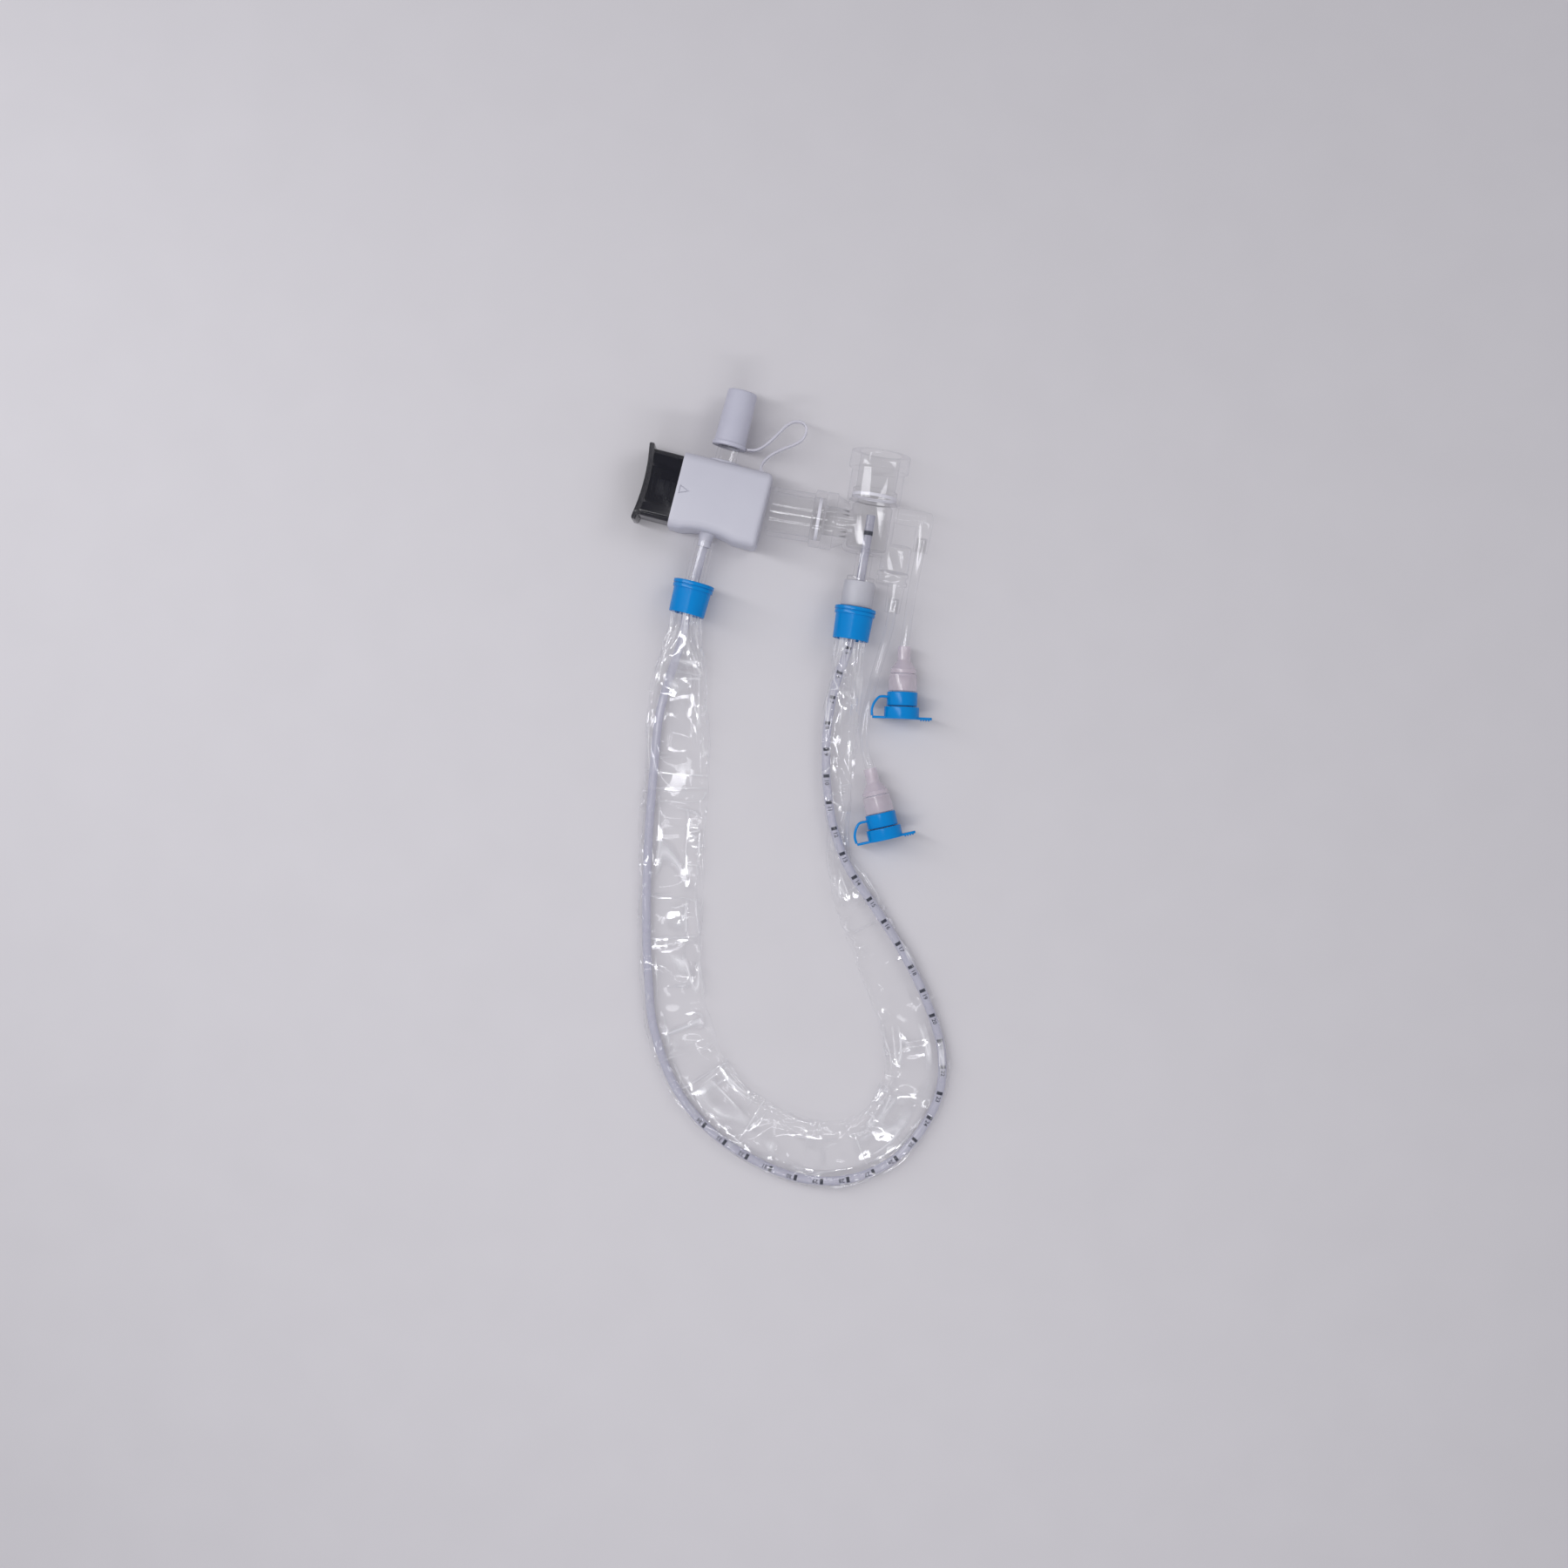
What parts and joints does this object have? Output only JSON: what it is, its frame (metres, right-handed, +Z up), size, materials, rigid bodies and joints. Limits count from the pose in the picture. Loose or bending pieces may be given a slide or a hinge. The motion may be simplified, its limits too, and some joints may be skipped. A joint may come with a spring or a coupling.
{
  "type": "suction catheter",
  "caption": "Closed suction catheter laid out flat: thumb valve, sleeved catheter and a tee with two swivels and two flush lines.",
  "frame": {"origin": "centre of the valve housing's flat underside", "axes": "+Y the way the patient port opens, +X from the tee's arm to its flush side, +Z up from the surface it lies on"},
  "size_m": [0.1527, 0.2911, 0.0225],
  "materials": {
    "white_moulding": "satin",
    "soft_white_moulding": "matte",
    "smoke_moulding": "gloss",
    "clear_moulding": "gloss",
    "frosted_moulding": "matte",
    "pinkish_clear_moulding": "satin",
    "blue_moulding": "satin",
    "catheter_tubing": "satin",
    "flush_tubing": "gloss",
    "clear_film": "gloss",
    "silicone": "matte",
    "spring_steel": "polished"
  },
  "bodies": {
    "root": {"valve_housing": "white_moulding", "valve_barrel": "clear_moulding", "return_spring": "spring_steel", "suction_stub": "clear_moulding", "cap_tether": "soft_white_moulding", "catheter_adapter": "clear_moulding", "sleeve_ring_valve": "blue_moulding", "sleeve_ring_tee": "blue_moulding", "sleeve": "clear_film", "catheter": "catheter_tubing", "seal_housing": "frosted_moulding", "wiper_seal": "silicone", "tee_body": "clear_moulding", "patient_seal": "silicone", "ventilator_seal": "silicone", "flush_elbow": "clear_moulding", "flush_fitting": "clear_moulding", "flush_tube_1": "flush_tubing", "flush_tube_2": "flush_tubing", "check_valve_outlet_1": "pinkish_clear_moulding", "check_valve_inlet_1": "pinkish_clear_moulding", "check_valve_disc_1": "silicone", "flush_collar_1": "blue_moulding", "check_valve_outlet_2": "pinkish_clear_moulding", "check_valve_inlet_2": "pinkish_clear_moulding", "check_valve_disc_2": "silicone", "flush_collar_2": "blue_moulding"},
    "button": {"thumb_button": "smoke_moulding", "valve_piston": "soft_white_moulding", "piston_seal_front": "silicone", "piston_seal_middle": "silicone", "piston_seal_rear": "silicone"},
    "patient_swivel": {"patient_swivel": "clear_moulding"},
    "ventilator_swivel": {"ventilator_swivel": "clear_moulding"},
    "flush_lid_1": {"flush_lid_1": "blue_moulding"},
    "flush_lid_2": {"flush_lid_2": "blue_moulding"},
    "port_cap": {"port_cap": "soft_white_moulding"}
  },
  "joints": [
    {"name": "button_push", "type": "slide", "parent": "root", "child": "button", "axis": [0.9965, -0.0837, 0], "range_m": [0, 0.006], "stiffness_N_per_m": 500, "springref_m": -0.004, "deforming": ["return_spring"]},
    {"name": "patient_turn", "type": "hinge", "parent": "root", "child": "patient_swivel", "pos_m": [0.0563, -0.0002, 0.0113], "axis": [0, 1, 0], "continuous": true},
    {"name": "ventilator_turn", "type": "hinge", "parent": "root", "child": "ventilator_swivel", "pos_m": [0.0563, -0.0002, 0.0113], "axis": [1, 0, 0], "continuous": true},
    {"name": "lid_1_swing", "type": "hinge", "parent": "root", "child": "flush_lid_1", "pos_m": [0.06921, -0.06955, 0.0067], "axis": [0, 0, -1], "range_deg": [0, 60]},
    {"name": "lid_2_swing", "type": "hinge", "parent": "root", "child": "flush_lid_2", "pos_m": [0.07158, -0.11796, 0.0067], "axis": [0, 0, -1], "range_deg": [0, 60]},
    {"name": "cap_pull", "type": "slide", "parent": "root", "child": "port_cap", "axis": [0.0837, 0.9965, 0], "range_m": [0, 0.022]}
  ]
}
